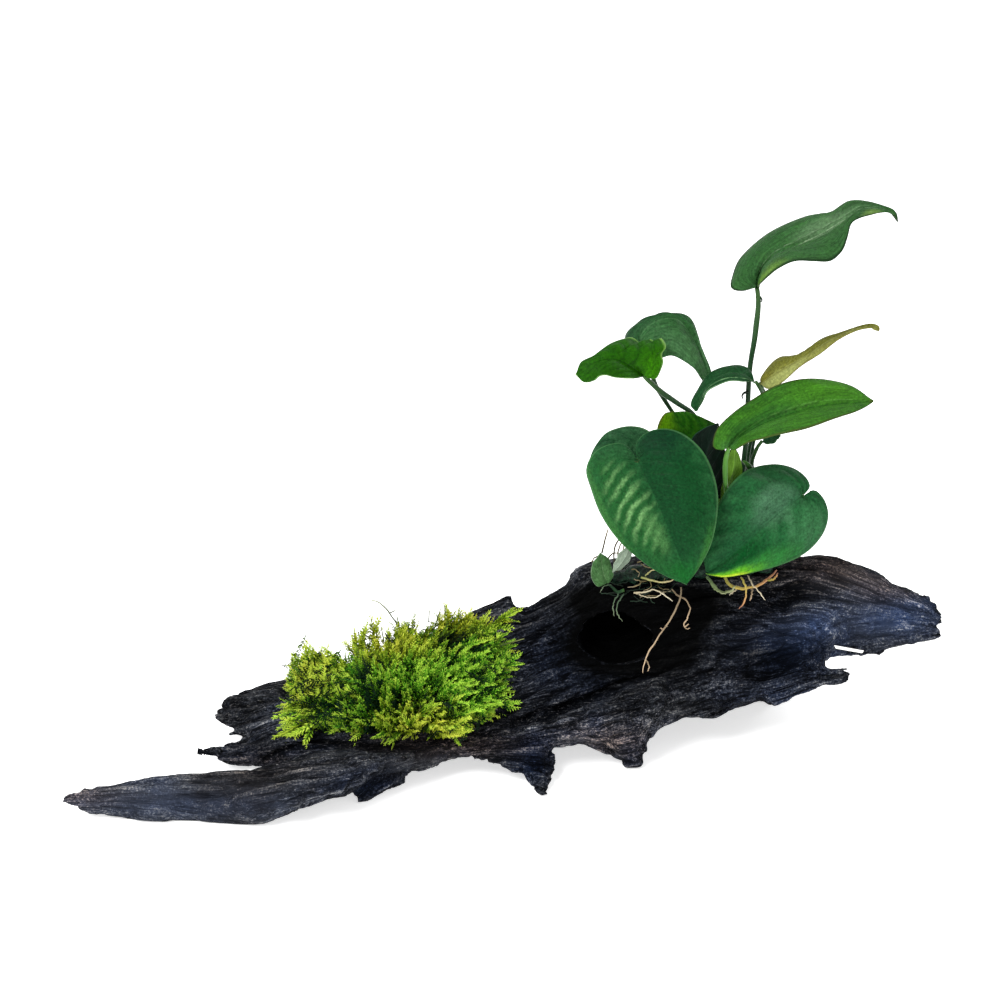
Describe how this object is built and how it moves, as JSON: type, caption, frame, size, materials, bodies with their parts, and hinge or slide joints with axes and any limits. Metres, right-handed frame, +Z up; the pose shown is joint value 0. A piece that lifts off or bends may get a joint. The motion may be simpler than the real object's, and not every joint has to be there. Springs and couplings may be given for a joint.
{
  "type": "aquarium plant on driftwood",
  "caption": "Anubias barteri with broad leaves on long petioles, rooted on a dark, split piece of driftwood beside a low clump of moss.",
  "frame": {"origin": "middle of the object's footprint, on the surface it lies on", "axes": "+X along the wood toward its thick tapering end, +Y away from the side the leaves face, +Z up"},
  "size_m": [0.4083, 0.1565, 0.2639],
  "materials": {
    "driftwood": "damp charcoal-black wood with long fine grain",
    "green_leaf": "satin, mid green, slightly quilted",
    "dark_leaf": "satin, dark green",
    "bright_leaf": "satin, light yellow-green",
    "olive_leaf": "satin, olive yellow",
    "green_stalk": "smooth green stalk",
    "root_skin": "matt tan root",
    "green_root": "matt grey-green root",
    "moss": "feathery moss"
  },
  "bodies": {
    "root": {"trunk": "driftwood", "front_prong": "driftwood", "middle_prong": "driftwood", "back_prong": "driftwood", "right_end": "driftwood", "right_lower_prong": "driftwood", "leaf_top": "green_leaf", "leaf_back_left": "dark_leaf", "leaf_front_left": "bright_leaf", "leaf_small_arched": "dark_leaf", "leaf_young_olive": "olive_leaf", "leaf_right": "bright_leaf", "leaf_heart_front": "green_leaf", "leaf_heart_right": "dark_leaf", "leaf_behind_left": "dark_leaf", "leaf_centre_back": "bright_leaf", "leaf_centre_dark": "dark_leaf", "leaf_young_upright": "bright_leaf", "leaf_under_right": "dark_leaf", "leaflet_oval": "green_leaf", "leaflet_folded": "green_leaf", "petiole_top": "green_stalk", "petiole_back_left": "green_stalk", "petiole_front_left": "green_stalk", "petiole_small_arched": "green_stalk", "petiole_young_olive": "green_stalk", "petiole_right": "green_stalk", "petiole_heart_front": "green_stalk", "petiole_heart_right": "green_stalk", "petiole_behind_left": "green_stalk", "petiole_centre_back": "green_stalk", "petiole_centre_dark": "green_stalk", "petiole_young_upright": "green_stalk", "petiole_under_right": "green_stalk", "rhizome": "green_stalk", "root_long": "root_skin", "root_curled": "root_skin", "root_olive": "green_root", "root_white": "root_skin", "root_left_long": "green_root", "root_left_short": "green_root", "root_loop": "green_root", "root_main": "root_skin", "root_hanging": "root_skin", "root_hanging_white": "root_skin", "root_hanging_short": "root_skin", "root_pale": "root_skin", "sheath": "bright_leaf", "leaflet_stalk": "green_root", "moss_clump": "moss"}
  },
  "joints": []
}
